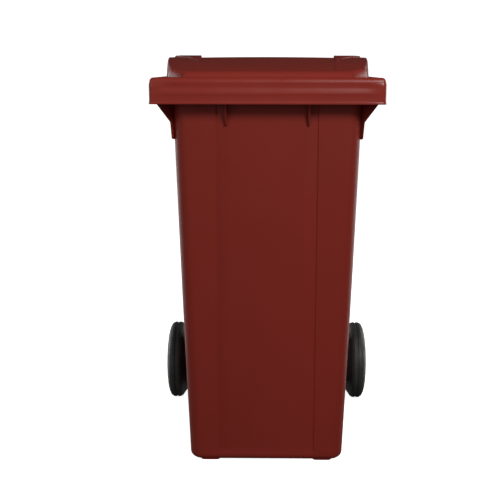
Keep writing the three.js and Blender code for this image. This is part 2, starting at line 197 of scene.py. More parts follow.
@dataclass
class Skin:
    """Points and faces of one piece in the making, in millimetres."""

    points: list[Point] = field(default_factory=list)
    faces: list[tuple[int, ...]] = field(default_factory=list)

    def rings(self, rings: Sequence[Sequence[Point]], ends: Ends = Ends.CAPPED) -> Skin:
        """Joins rings of equally many points by bands of four-sided faces.

        Args:
            rings: the rings in order, each a closed loop.
            ends: what happens at the first and last ring.

        Returns:
            This skin.
        """
        first, count = len(self.points), len(rings[0])
        for ring in rings:
            self.points.extend(ring)
        for k in range(len(rings) if ends is Ends.JOINED else len(rings) - 1):
            low, high = first + k * count, first + ((k + 1) % len(rings)) * count
            for i in range(count):
                j = (i + 1) % count
                self.faces.append((low + i, low + j, high + j, high + i))
        if ends is Ends.CAPPED:
            last = first + (len(rings) - 1) * count
            self.faces.append(tuple(range(first + count - 1, first - 1, -1)))
            self.faces.append(tuple(range(last, last + count)))
        return self

    def sheet(self, rows: Sequence[Sequence[Point]]) -> Skin:
        """Covers a grid of points with four-sided faces.

        Args:
            rows: the points, row by row.

        Returns:
            This skin.
        """
        first, width = len(self.points), len(rows[0])
        for row in rows:
            self.points.extend(row)
        for r in range(len(rows) - 1):
            for c in range(width - 1):
                a = first + r * width + c
                self.faces.append((a, a + 1, a + 1 + width, a + width))
        return self

    def plate(self, outline: Sequence[Flat], x0: float, x1: float) -> Skin:
        """Adds a plate of a (depth, height) outline that stands across the bin from x0 to x1."""
        return self.rings([[(x, y, z) for y, z in outline] for x in (x0, x1)])

    def turned(
        self, profile: Sequence[Flat], centre: Flat, sides: int = 96, ends: Ends = Ends.JOINED
    ) -> Skin:
        """Turns a profile about an axis along X.

        Args:
            profile: (x, radius) points, a closed loop unless ends says otherwise.
            centre: the axis's depth and height.
            sides: faces round the axis.
            ends: whether the profile closes on itself.

        Returns:
            This skin.
        """
        circle = [math.tau * k / sides for k in range(sides)]
        rings = [
            [(x, centre[0] + r * math.cos(a), centre[1] + r * math.sin(a)) for a in circle]
            for x, r in profile
        ]
        return self.rings(rings, ends)

    def mirrored(self) -> Skin:
        """Adds the mirror image of what is here to the other side of the bin.

        Returns:
            This skin.
        """
        count = len(self.points)
        self.points.extend([(-x, y, z) for x, y, z in self.points])
        self.faces.extend([tuple(count + i for i in reversed(face)) for face in self.faces])
        return self

    def flipped(self) -> Skin:
        """Returns the mirror image alone, for a piece on the bin's left."""
        return Skin([(-x, y, z) for x, y, z in self.points], [tuple(reversed(f)) for f in self.faces])


@dataclass(frozen=True)
class Workshop:
    """Turns skins into pieces that ride on the frame."""

    datum: Datum

    def piece(
        self,
        name: str,
        skin: Skin,
        finish: Finish,
        body: str,
        replaces: Sequence[str] = (),
        bevel: float = 0.0,
        crease: float = 32.0,
    ) -> bpy.types.Object:
        """Makes one piece of the bin.

        Args:
            name: the piece's name.
            skin: its shape.
            finish: what it is made of.
            body: the body it moves with.
            replaces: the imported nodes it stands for.
            bevel: radius in millimetres for its hard edges, or 0.
            crease: angle in degrees above which an edge looks sharp.

        Returns:
            The new object.
        """
        mesh = bpy.data.meshes.new(name)
        mesh.from_pydata([self.datum.at(p) for p in skin.points], [], skin.faces)
        build = bmesh.new()
        build.from_mesh(mesh)
        bmesh.ops.remove_doubles(build, verts=build.verts, dist=2e-6)
        bmesh.ops.dissolve_degenerate(build, edges=build.edges, dist=1e-6)
        bmesh.ops.recalc_face_normals(build, faces=build.faces)
        build.to_mesh(mesh)
        build.free()
        mesh.polygons.foreach_set("use_smooth", [True] * len(mesh.polygons))
        if not bevel:
            mesh.set_sharp_from_angle(angle=math.radians(crease))
        obj = bpy.data.objects.new(name, mesh)
        bpy.context.scene.collection.objects.link(obj)
        if bevel:
            rounding = obj.modifiers.new("rounding", "BEVEL")
            rounding.width = bevel * MM
            rounding.segments = 3
            rounding.limit_method = "ANGLE"
            rounding.angle_limit = math.radians(50)
            rounding.harden_normals = True
        mesh.materials.append(finish.material())
        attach(obj, body)
        if replaces:
            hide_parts(*replaces)
        log.info("%s: %d faces on %s", name, len(mesh.polygons), body)
        return obj


# --- finishes
class Nodes:
    """A material's nodes, with short calls to add and wire them."""

    def __init__(self, name: str) -> None:
        """Starts an empty material of that name.

        Args:
            name: the material's name.
        """
        self.material = bpy.data.materials.new(name)
        self.material.use_nodes = True
        self.tree = self.material.node_tree
        self.tree.nodes.clear()
        self.place = self.add("ShaderNodeTexCoord").outputs["Object"]

    def add(self, kind: str, settings: dict | None = None, **inputs: object) -> bpy.types.Node:
        """Adds a node.

        Args:
            kind: the node's type.
            settings: attributes to set on it.
            **inputs: sockets by name, with _ for a space, given a value or another node's socket.

        Returns:
            The new node.
        """
        node = self.tree.nodes.new(kind)
        for key, value in (settings or {}).items():
            setattr(node, key, value)
        for key, value in inputs.items():
            self.feed(node.inputs[key.replace("_", " ")], value)
        return node

    def feed(self, socket: bpy.types.NodeSocket, value: object) -> None:
        """Gives a socket a value, or wires another node's socket to it.

        Args:
            socket: the socket to fill in.
            value: a number, a colour or another node's socket.
        """
        if isinstance(value, bpy.types.NodeSocket):
            self.tree.links.new(value, socket)
        else:
            socket.default_value = value

    def noise(self, scale: float, detail: float = 4.0, stretch: Point = (1, 1, 1)) -> bpy.types.NodeSocket:
        """Returns a noise of so many waves to the metre, stretched along the axes where asked."""
        spot = self.add("ShaderNodeMapping", Vector=self.place, Scale=stretch).outputs["Vector"]
        return self.add("ShaderNodeTexNoise", Vector=spot, Scale=scale, Detail=detail).outputs["Fac"]

    def band(
        self, value: bpy.types.NodeSocket, low: float, high: float, a: float, b: float
    ) -> bpy.types.NodeSocket:
        """Stretches a range of values to another and holds it there.

        Args:
            value: the socket to stretch.
            low: the value that gives a.
            high: the value that gives b.
            a: the outcome at low.
            b: the outcome at high.

        Returns:
            The stretched value.
        """
        node = self.add("ShaderNodeMapRange", {"clamp": True}, Value=value)
        for key, number in (("From Min", low), ("From Max", high), ("To Min", a), ("To Max", b)):
            node.inputs[key].default_value = number
        return node.outputs["Result"]

    def sum(self, what: str, a: object, b: object) -> bpy.types.NodeSocket:
        """Does a sum.

        Args:
            what: MULTIPLY, ADD, MAXIMUM or another such sum.
            a: a number or a socket.
            b: a number or a socket.

        Returns:
            The outcome.
        """
        node = self.add("ShaderNodeMath", {"operation": what})
        self.feed(node.inputs[0], a)
        self.feed(node.inputs[1], b)
        return node.outputs[0]

    def blend(self, share: object, a: object, b: object) -> bpy.types.NodeSocket:
        """Blends two colours.

        Args:
            share: how much of b shows, from 0 to 1.
            a: the first colour.
            b: the second colour.

        Returns:
            The blended colour.
        """
        node = self.add("ShaderNodeMix", {"data_type": "RGBA"})
        for index, value in ((0, share), (6, a), (7, b)):
            self.feed(node.inputs[index], value)
        return node.outputs[2]

    def bump(self, height: bpy.types.NodeSocket, depth: float, under: object = None) -> bpy.types.NodeSocket:
        """Presses a height into the surface.

        Args:
            height: the height, from 0 to 1.
            depth: how deep it goes, in millimetres.
            under: a normal to press it over, if any.

        Returns:
            The new normal.
        """
        node = self.add("ShaderNodeBump", Height=height, Distance=depth * MM, Strength=1.0)
        if under is not None:
            self.feed(node.inputs["Normal"], under)
        return node.outputs["Normal"]

    def edges(self, low: float, high: float) -> bpy.types.NodeSocket:
        """Returns how much of an outer edge a spot is on."""
        return self.band(self.add("ShaderNodeNewGeometry").outputs["Pointiness"], low, high, 0.0, 1.0)

    def finish(self, **sockets: object) -> bpy.types.Material:
        """Adds the shader with its sockets filled in, and returns the material.

        Returns:
            The material.
        """
        shader = self.add("ShaderNodeBsdfPrincipled", None, **sockets)
        self.add("ShaderNodeOutputMaterial", None, Surface=shader.outputs["BSDF"])
        return self.material


def tint(red: float, green: float, blue: float) -> tuple[float, float, float, float]:
    """Returns a screen colour of 0 to 255 as the light-linear colour that shaders use.

    Args:
        red: 0 to 255.
        green: 0 to 255.
        blue: 0 to 255.

    Returns:
        The colour, with full cover.
    """

    def linear(value: float) -> float:
        """Returns one channel in linear light."""
        v = value / 255
        return v / 12.92 if v <= 0.04045 else ((v + 0.055) / 1.055) ** 2.4

    return (linear(red), linear(green), linear(blue), 1.0)


_made: dict[object, bpy.types.Material] = {}


@dataclass(frozen=True)
class Finish:
    """A surface finish. Each kind draws its own nodes; a finish needed twice is made once."""

    name: str
    slot: str

    def draw(self) -> bpy.types.Material:
        """Returns the finish's new material."""
        raise NotImplementedError

    def material(self) -> bpy.types.Material:
        """Returns the finish's material, made on first use.

        Returns:
            The material.
        """
        if self not in _made:
            _made[self] = self.draw()
        return _made[self]


@dataclass(frozen=True)
class Moulded(Finish):
    """Injection-moulded plastic with a fine spark-eroded grain, faint flow clouds, handling scuffs, and outer
    edges painted lighter: part rubbing, part painted highlight.
    """

    deep: tuple[float, float, float] = (0, 0, 0)
    bright: tuple[float, float, float] = (0, 0, 0)
    # the third colour: scratches and scuffs, and on outer edges also a painted highlight
    worn: tuple[float, float, float] = (0, 0, 0)
    roughness: float = 0.45
    gloss: float = 0.3
    grain: float = 0.02
    # how strongly scratches, scuffs and the painted edge highlight show
    wear: float = 0.5

    def draw(self) -> bpy.types.Material:
        """Returns the plastic's material.

        Returns:
            The material.
        """
        n = Nodes(self.name)
        clouds = n.band(n.noise(5.0, 3.0, (1, 1, 0.45)), 0.3, 0.7, 0.0, 1.0)
        speck = n.band(n.noise(1500.0, 2.0), 0.25, 0.75, -0.16, 0.16)
        share = n.sum("ADD", n.sum("MULTIPLY", clouds, 0.5), n.sum("ADD", speck, 0.25))
        colour = n.blend(share, tint(*self.deep), tint(*self.bright))
        scratch_a = n.band(n.noise(60.0, 8.0, (9, 9, 0.6)), 0.66, 0.74, 0.0, 1.0)
        scratch_b = n.band(n.noise(55.0, 8.0, (0.5, 3, 11)), 0.68, 0.76, 0.0, 1.0)
        patch = n.band(n.noise(9.0, 2.0), 0.52, 0.68, 0.0, 1.0)
        scuff = n.sum("MULTIPLY", n.sum("MAXIMUM", scratch_a, scratch_b), patch)
        # outer edges lightened towards the third colour: partly rubbing from handling, partly a painted
        # highlight
        rub_and_highlight = n.sum("MULTIPLY", n.edges(0.56, 0.72), n.band(n.noise(30.0), 0.4, 0.65, 0.1, 0.7))
        scuff_and_highlight = n.sum("MULTIPLY", n.sum("MAXIMUM", n.sum("MULTIPLY", scuff, 0.6), rub_and_highlight), self.wear)
        colour = n.blend(scuff_and_highlight, colour, tint(*self.worn))
        haze = n.band(n.noise(14.0, 5.0), 0.3, 0.7, self.roughness - 0.05, self.roughness + 0.06)
        rough = n.sum("ADD", haze, n.sum("MULTIPLY", scuff_and_highlight, 0.12))
        pits = n.add("ShaderNodeTexVoronoi", {"feature": "SMOOTH_F1"}, Vector=n.place, Scale=700.0)
        cells = pits.outputs["Distance"]
        wave = n.bump(n.noise(11.0, 1.0), 0.5)
        grain = n.bump(n.sum("ADD", cells, n.noise(1900.0, 3.0)), self.grain, wave)
        normal = n.bump(scuff, -0.03 * self.wear, grain)
        return n.finish(Base_Color=colour, Roughness=rough, Normal=normal, Specular_IOR_Level=self.gloss)


@dataclass(frozen=True)
class Rubber(Finish):
    """Solid rubber with a dull bloom and pores dusty from the road; outer edges and tread crests painted
    lighter: part rubbing, part painted highlight.
    """

    deep: tuple[float, float, float] = (20, 21, 20)
    # the pale colour: dirt in the pores, and on outer edges and tread crests also a painted highlight
    dust: tuple[float, float, float] = (74, 73, 68)
    dusty: float = 0.45
    roughness: float = 0.6

    def draw(self) -> bpy.types.Material:
        """Returns the rubber's material.

        Returns:
            The material.
        """
        n = Nodes(self.name)
        bloom = n.band(n.noise(26.0, 5.0), 0.35, 0.75, 0.0, self.dusty)
        pores = n.band(n.noise(900.0, 4.0), 0.45, 0.7, 0.0, 0.35)
        # outer edges and tread crests lightened: partly rubbing, partly a painted highlight
        rub_and_highlight = n.sum("MULTIPLY", n.edges(0.52, 0.6), 0.3)
        bloom_and_highlight = n.sum("ADD", n.sum("MULTIPLY", bloom, 0.25), rub_and_highlight)
        share = n.sum("ADD", n.sum("MULTIPLY", bloom, pores), bloom_and_highlight)
        colour = n.blend(share, tint(*self.deep), tint(*self.dust))
        rough = n.band(n.noise(40.0, 4.0), 0.3, 0.7, self.roughness - 0.08, self.roughness + 0.12)
        normal = n.bump(n.noise(700.0, 5.0), 0.05, n.bump(n.noise(60.0, 2.0), 0.15))
        return n.finish(Base_Color=colour, Roughness=rough, Normal=normal, Specular_IOR_Level=0.42)


@dataclass(frozen=True)
class Plated(Finish):
    """Drawn steel with a zinc coat: fine lines along the bar, grey bloom and a few dull spots."""

    roughness: float = 0.34

    def draw(self) -> bpy.types.Material:
        """Returns the steel's material.

        Returns:
            The material.
        """
        n = Nodes(self.name)
        lines = n.noise(240.0, 4.0, (0.06, 1, 1))
        bloom = n.band(n.noise(45.0, 6.0), 0.42, 0.7, 0.0, 1.0)
        colour = n.blend(bloom, tint(188, 190, 192), tint(142, 143, 142))
        colour = n.blend(n.band(n.noise(160.0, 3.0), 0.68, 0.78, 0.0, 0.6), colour, tint(98, 84, 70))
        haze = n.band(lines, 0.3, 0.7, self.roughness - 0.06, self.roughness + 0.06)
        rough = n.sum("ADD", haze, n.sum("MULTIPLY", bloom, 0.2))
        return n.finish(Base_Color=colour, Roughness=rough, Metallic=1.0, Normal=n.bump(lines, 0.012))


@dataclass(frozen=True)
class Studio(Finish):
    """The pale painted floor."""

    shade: tuple[float, float, float] = (205, 205, 204)
    glow: float = 0.92

    def draw(self) -> bpy.types.Material:
        """Returns the floor's material.

        Returns:
            The material.
        """
        n = Nodes(self.name)
        clouds = n.band(n.noise(3.0, 4.0), 0.3, 0.7, 0.0, 1.0)
        colour = n.blend(clouds, tint(*self.shade), tint(*(0.99 * c for c in self.shade)))
        return n.finish(
            Base_Color=colour,
            Roughness=0.8,
            Normal=n.bump(n.noise(220.0, 3.0), 0.03),
            Specular_IOR_Level=0.1,
            Emission_Color=(1.0, 1.0, 0.995, 1.0),
            Emission_Strength=self.glow,
        )


# for each plastic the third colour is its scratch colour and also the painted highlight on its outer edges
BODY = Moulded(
    "body_maroon", "body_plastic", (94, 23, 15), (101, 27, 18), (132, 66, 56), 0.5, 0.14, 0.02, 0.3
)
LID = Moulded(
    "lid_maroon", "lid_plastic", (101, 28, 20), (109, 33, 24), (136, 66, 56), 0.32, 0.18, 0.012, 0.2
)
BLACK = Moulded(
    "black_plastic", "black_plastic", (17, 18, 17), (25, 26, 25), (70, 70, 68), 0.48, 0.4, 0.02, 0.5
)
NYLON = Moulded(
    "natural_nylon", "nylon", (205, 201, 188), (220, 217, 206), (232, 230, 222), 0.42, 0.4, 0.008, 0.2
)
TYRE = Rubber("tyre_rubber", "tyre")
BUFFER = Rubber("buffer_rubber", "rubber", (16, 16, 16), (52, 51, 49), 0.2, 0.7)
STEEL = Plated("zinc_steel", "steel")
FLOOR = Studio("studio_floor", "")


# --- the tub
@dataclass(frozen=True)
class Plan:
    """A rounded rectangle seen from above, with points kept for panels so that all plans match."""

    half: float
    front: float
    back: float
    corner: float
    panel: float = 0.0
    side_panel: float = 0.0
    groove: float = 0.0
    panel_half: float = 107.0
    side_near: float = 127.0
    side_far: float = 322.0
    edge: float = 5.0

    def outline(self) -> list[Flat]:
        """Returns the plan's points, counter-clockwise from the front's left end.

        Returns:
            The points of the outline.
        """
        bend = 12
        run = spread(0.0, 1.0, 4)
        points: list[Flat] = []

        def turn(x: float, y: float, start: float) -> None:
            """Adds a corner."""
            points.extend(arc((x, y), self.corner, start, start + 90, bend))

        def front_edge() -> None:
            """Adds the front wall with its sunken panel and the line moulded round it."""
            wide, narrow = self.panel_half, self.panel_half - self.edge
            for t in run:
                line = math.sin(math.pi * t) * self.groove
                points.append((-mix(wide, narrow, t), self.front + self.panel * ease(t, 0, 1) + line))
            points.extend([(x, self.front + self.panel) for x in spread(-narrow, narrow, 8)[1:-1]])
            for t in run:
                line = math.sin(math.pi * t) * self.groove
                points.append((mix(narrow, wide, t), self.front + self.panel * ease(1 - t, 0, 1) + line))

        def side_edge(sign: int) -> None:
            """Adds a side wall with its sunken panel.

            Args:
                sign: 1 for the right side, -1 for the left.
            """
            rows = [(mix(self.side_near, self.side_near + self.edge, t), ease(t, 0, 1)) for t in run]
            near, far = self.side_near + self.edge, self.side_far - self.edge
            rows += [(y, 1.0) for y in spread(near, far, 5)[1:-1]]
            rows += [(mix(far, self.side_far, t), ease(1 - t, 0, 1)) for t in run]
            if sign < 0:
                rows.reverse()
            points.extend([(sign * (self.half - self.side_panel * s), y) for y, s in rows])

        turn(-self.half + self.corner, self.front + self.corner, 180)
        front_edge()
        turn(self.half - self.corner, self.front + self.corner, 270)
        side_edge(1)
        turn(self.half - self.corner, self.back - self.corner, 0)
        inner = self.half - self.corner
        points.extend([(mix(inner, -inner, t), self.back) for t in spread(0, 1, 6)[1:-1]])
        turn(-self.half + self.corner, self.back - self.corner, 90)
        side_edge(-1)
        return points


@dataclass
class Tub:
    """The tapered tub with its rim, ribs, handle and axle brackets."""

    shop: Workshop
    wall: float = 3.5
    under: float = 2.0
    top: float = 840.0
    half_foot: float = 171.0
    half_top: float = 198.7
    front_foot: float = 55.0
    front_top: float = 33.0
    corner: float = 30.0
    foot_fillet: float = 13.0
    step_low: float = 205.0
    step_high: float = 228.0
    rim_half: float = 234.0
    rim_front: float = 6.0
    rim_back: float = 492.0
    rim_corner: float = 14.0
    rim_thick: float = 3.5
    lip_bottom: float = 803.0
    handle_radius: float = 15.0
    rib_depths: tuple[float, ...] = (165.0, 290.0, 410.0)
    corner_sweep: float = 1.2
    corner_depth: float = 66.0
    bulge: float = 1.3
    panel_deep: float = 1.6
    groove_deep: float = 1.3
    side_panel_deep: float = 2.0

    def back_at(self, z: float) -> float:
        """Returns the depth of the back wall at a height: far back above the step, forward below it.

        Args:
            z: the height.

        Returns:
            The depth.
        """
        low = mix(384, 388, min(z / self.step_low, 1))
        high = mix(446, 472, (z - self.step_high) / (self.top - self.step_high))
        return mix(low, high, ease(z, self.step_low, self.step_high))

    def plan(self, z: float, inset: float, rise: float = 0.0) -> Plan:
        """Returns the tub's plan at a height.

        Args:
            z: the height.
            inset: how far the walls are drawn in.
            rise: how far the step is lifted, for the inside.

        Returns:
            The plan there.
        """
        t = z / self.top
        inside = rise > 0
        fade = ease(z, 30, 60) * (1 - ease(z, 740, 775))
        return Plan(
            half=mix(self.half_foot, self.half_top, t) + self.bulge * math.sin(math.pi * min(t, 1.0)) - inset,
            front=mix(self.front_foot, self.front_top, t) + inset,
            back=self.back_at(z - rise) - inset,
            corner=self.corner - min(inset, 22),
            panel=self.panel_deep * ease(z, 14, 30) * (1 - ease(z, 806, 822)),
            side_panel=self.side_panel_deep * fade,
            groove=0.0 if inside else self.groove_deep * ease(z, 14, 30),
        )

    def ring(self, z: float, inset: float, rise: float = 0.0) -> list[Point]:
        """Returns the tub's plan at a height as a ring of points."""
        return [(x, y, z) for x, y in self.plan(z, inset, rise).outline()]

    def skin_rings(self, inset: float, floor: float, top: float, rise: float) -> list[list[Point]]:
        """Returns the rings of the outer or inner skin, from the floor up.

        Args:
            inset: how far in from the outer skin.
            floor: height of its floor.
            top: height of its top ring.
            rise: how far up the step in the back wall is moved.

        Returns:
            The rings, lowest first.
        """
        fillet = self.foot_fillet - min(inset, 5)
        rings = []
        for k in range(7):
            a = math.pi / 2 * k / 6
            z = floor + fillet * (1 - math.cos(a))
            rings.append(self.ring(z, inset + fillet * (1 - math.sin(a)), rise))
        heights = [20, 26, 32, 40, 48, 56, 62, 110, 160, 198]
        heights += [z + rise for z in spread(self.step_low, self.step_high, 8)]
        heights += [242, 300, 380, 460, 540, 620, 700, 738, 746, 754, 762, 770, 776, 800, 808, 815, 824]
        rings += [self.ring(z, inset, rise) for z in heights if z > floor + fillet + 1]
        return rings + [self.ring(top, inset, rise)]

    def shell(self) -> None:
        """Builds the double skin of the tub."""
        outer = self.skin_rings(0.0, self.under, self.top, 0.0)
        inner = self.skin_rings(self.wall, self.under + self.wall + 1, self.top, self.wall)
        self.shop.piece("tub_shell", Skin().rings(outer + inner[::-1]), BODY, "tub", ["tub"], crease=40)

    def rim(self) -> None:
        """Builds the rim: a flange round the mouth with a lip turned down all round."""

        def plan(inset: float) -> list[Flat]:
            """Returns the rim's plan drawn in by inset."""
            back, corner = self.rim_back - inset, self.rim_corner - inset
            return Plan(self.rim_half - inset, self.rim_front + inset, back, corner).outline()

        def ring(inset: float, z: float) -> list[Point]:
            """Returns a ring of the rim; the lip is shorter at the back."""
            low = z < self.top - 20
            return [(x, y, z + (12 * ease(y, 474, 486) if low else 0)) for x, y in plan(inset)]

        under = self.top - self.rim_thick
        rings = [
            self.ring(under + 1, self.wall - 0.2, self.wall),
            self.ring(self.top - 1.2, self.wall - 0.3, self.wall),
            self.ring(self.top - 0.3, self.wall - 1.0, self.wall),
            self.ring(self.top + 0.05, self.wall - 2.2, self.wall),
            ring(3.0, self.top + 0.05), ring(1.4, self.top - 0.2),
            ring(0.4, self.top - 1.1), ring(0, self.top - 2.6),
            ring(0, self.lip_bottom + 1.5), ring(0.4, self.lip_bottom + 0.4), ring(1.7, self.lip_bottom),
            ring(3.1, self.lip_bottom + 0.4), ring(3.5, self.lip_bottom + 1.5),
            ring(3.5, under - 3), ring(4.2, under - 0.9), ring(6.0, under),
            self.ring(under, -5.0), self.ring(under - 0.8, -2.0),
            self.ring(under - 3, -0.4), self.ring(under - 5, 0.5),
        ]
        self.shop.piece("tub_rim", Skin().rings(rings, Ends.JOINED), BODY, "tub", crease=40)

    def side_rib(self, low: float) -> list[Flat]:
        """Returns the outline of a rib under the rim's side that ends at a height.

        Args:
            low: the height at which it ends.

        Returns:
            Its outline.
        """
        top = self.top - 2
        tail = [(197.5, low, 4), (183, low)]
        return soften([(186, top), (232, top), (232, 803, 3), (224, 796, 5), (200, 755, 8), *tail], 0.0, 6)

    def corner_rib(self) -> list[Flat]:
        """Returns the outline of the wider rib at the rim's front corner.

        Returns:
            Its outline.
        """
        top = self.top - 2
        corners = [(186, top), (231, top), (231, 801, 3), (203, 757, 9), (200.5, 721, 4), (183, 721)]
        return soften(corners, 0.0, 6)

    def ribs(self) -> None:
        """Builds the upright ribs that carry the rim and stiffen the back wall."""
        z = self.top - 2
        skin = Skin()
        swept: list[list[Point]] = []
        front = [(8, z), (8, 809, 4), (33, 750, 10), (42, 750), (42, z)]
        skin.plate(soften(front, 0.0, 6), 84.2, 87.8)
        for start in (self.corner_depth, self.corner_depth + 6):
            swept.append([(x, start - self.corner_sweep * (x - 190), h) for x, h in self.corner_rib()])
        skin.rings(swept)
        side = self.side_rib(761.0)
        for depth in self.rib_depths:
            skin.rings([[(x, y, h) for x, h in side] for y in (depth, depth + 3.8)])
        for x in (34.0, 74.0, 112.0):
            back = [(440, 236), (448, 236, 4), (458, 262, 6), (477, 800), (477, 838), (440, 838)]
            skin.plate(soften(back, 0.0, 5), x - 2, x + 2)
        self.shop.piece("tub_ribs", skin.mirrored(), BODY, "tub", bevel=0.9)

    def ear(self, radius: float) -> list[Flat]:
        """Draws an ear that grows out of the back wall and ends round the hinge axis.

        Args:
            radius: radius of its round end.

        Returns:
            Its outline.
        """
        y, z = self.shop.datum.hinge
        neck = [(y - 7, z - radius - 3, 16), (y + radius * 0.17, z - radius)]
        foot = soften([(466, 767), (479, 767, 5), (501, 809, 14), *neck], 0, 6)
        crown = soften([(y - 6, z + radius - 1), (497, 883, 8), (490, 856, 14), (490, 835), (466, 835)], 0, 6)
        return foot[:-1] + arc((y, z), radius, -80, 110, 24) + crown

    def handle(self) -> None:
        """Builds the four ears, the grab bar between the inner two and the web that holds its middle."""
        skin = Skin()
        skin.plate(self.ear(19), 231.5, 239.5).plate(self.ear(19), 157, 168)
        self.shop.piece("hinge_ears", skin.mirrored(), BODY, "tub", bevel=1.2)
        self.shop.piece("grab_bar_web", Skin().plate(self.ear(13.5), -5, 5), BODY, "tub", bevel=1.2)
        r = self.handle_radius
        half = [(1.0, r), (7, r + 0.4), (10, r)]
        for k in range(13):
            x = 16 + k * 10.4
            half += [(x, r), (x + 1.6, r - 0.8), (x + 3.2, r - 0.8), (x + 4.8, r)]
        half += [(148, r), (153, r + 0.8), (156, r + 2.2), (158, r + 4)]
        bar = [(-x, rad) for x, rad in reversed(half)] + half
        self.shop.piece("grab_bar", Skin().turned(bar, self.shop.datum.hinge, 56, Ends.CAPPED), BODY, "tub")

    def brackets(self) -> None:
        """Builds the plates under the step that hold the axle, and the bosses that face the wheels."""
        y, z = self.shop.datum.axle
        foot = soften([(380, 200), (380, 30), (396, 30, 8), (y - 9, z - 23)], 0, 6)
        tail = soften([(y + 19, z + 16), (462, 300, 10), (452, 312, 5), (440, 312), (440, 224)], 0, 6)
        outline = foot[:-1] + arc((y, z), 24, -108, 38, 24) + tail
        skin = Skin()
        skin.plate(outline, 162, 170).plate(outline, 64, 72)
        self.shop.piece("axle_brackets", skin.mirrored(), BODY, "tub", bevel=1.0)
        boss = soften([(166, 10.5), (166, 20), (173.8, 18, 1.4), (173.8, 12, 0.8), (172.6, 10.5)], 0.4, 3)
        collar = soften([(60, 10.5), (60, 17, 1.2), (76, 17, 1.2), (76, 10.5)], 0.2, 3)
        rings = Skin().turned(boss, (y, z)).turned(collar, (y, z)).mirrored()
        self.shop.piece("axle_bosses", rings, BODY, "tub")
        tie = soften([(385, 150), (398, 150, 3), (455, 222, 4), (440, 232), (385, 206)], 0, 4)
        webs = Skin()
        for x in (96, 134):
            webs.plate(tie, x - 1.8, x + 1.8)
        self.shop.piece("step_webs", webs.plate(tie, 30, 33.6).mirrored(), BODY, "tub", bevel=0.8)

    def feet(self) -> None:
        """Builds the two wearing pads under the front edge."""
        rings: list[list[Point]] = []
        for inset, z in ((3.2, 0.0), (1.2, 0.5), (0.2, 2.0), (0, 6.0)):
            near, far = 60 + inset, 132 - inset
            left, right = 104 + inset, 147 - inset
            pad = soften([(left, near), (right, near), (right, far), (left, far)], 8, 6)
            rings.append([(x, y, z) for x, y in pad])
        self.shop.piece("tub_feet", Skin().rings(rings).mirrored(), BODY, "tub")

    def build(self) -> None:
        """Builds every piece of the tub."""
        for part in (self.shell, self.rim, self.ribs, self.handle, self.brackets, self.feet):
            part()


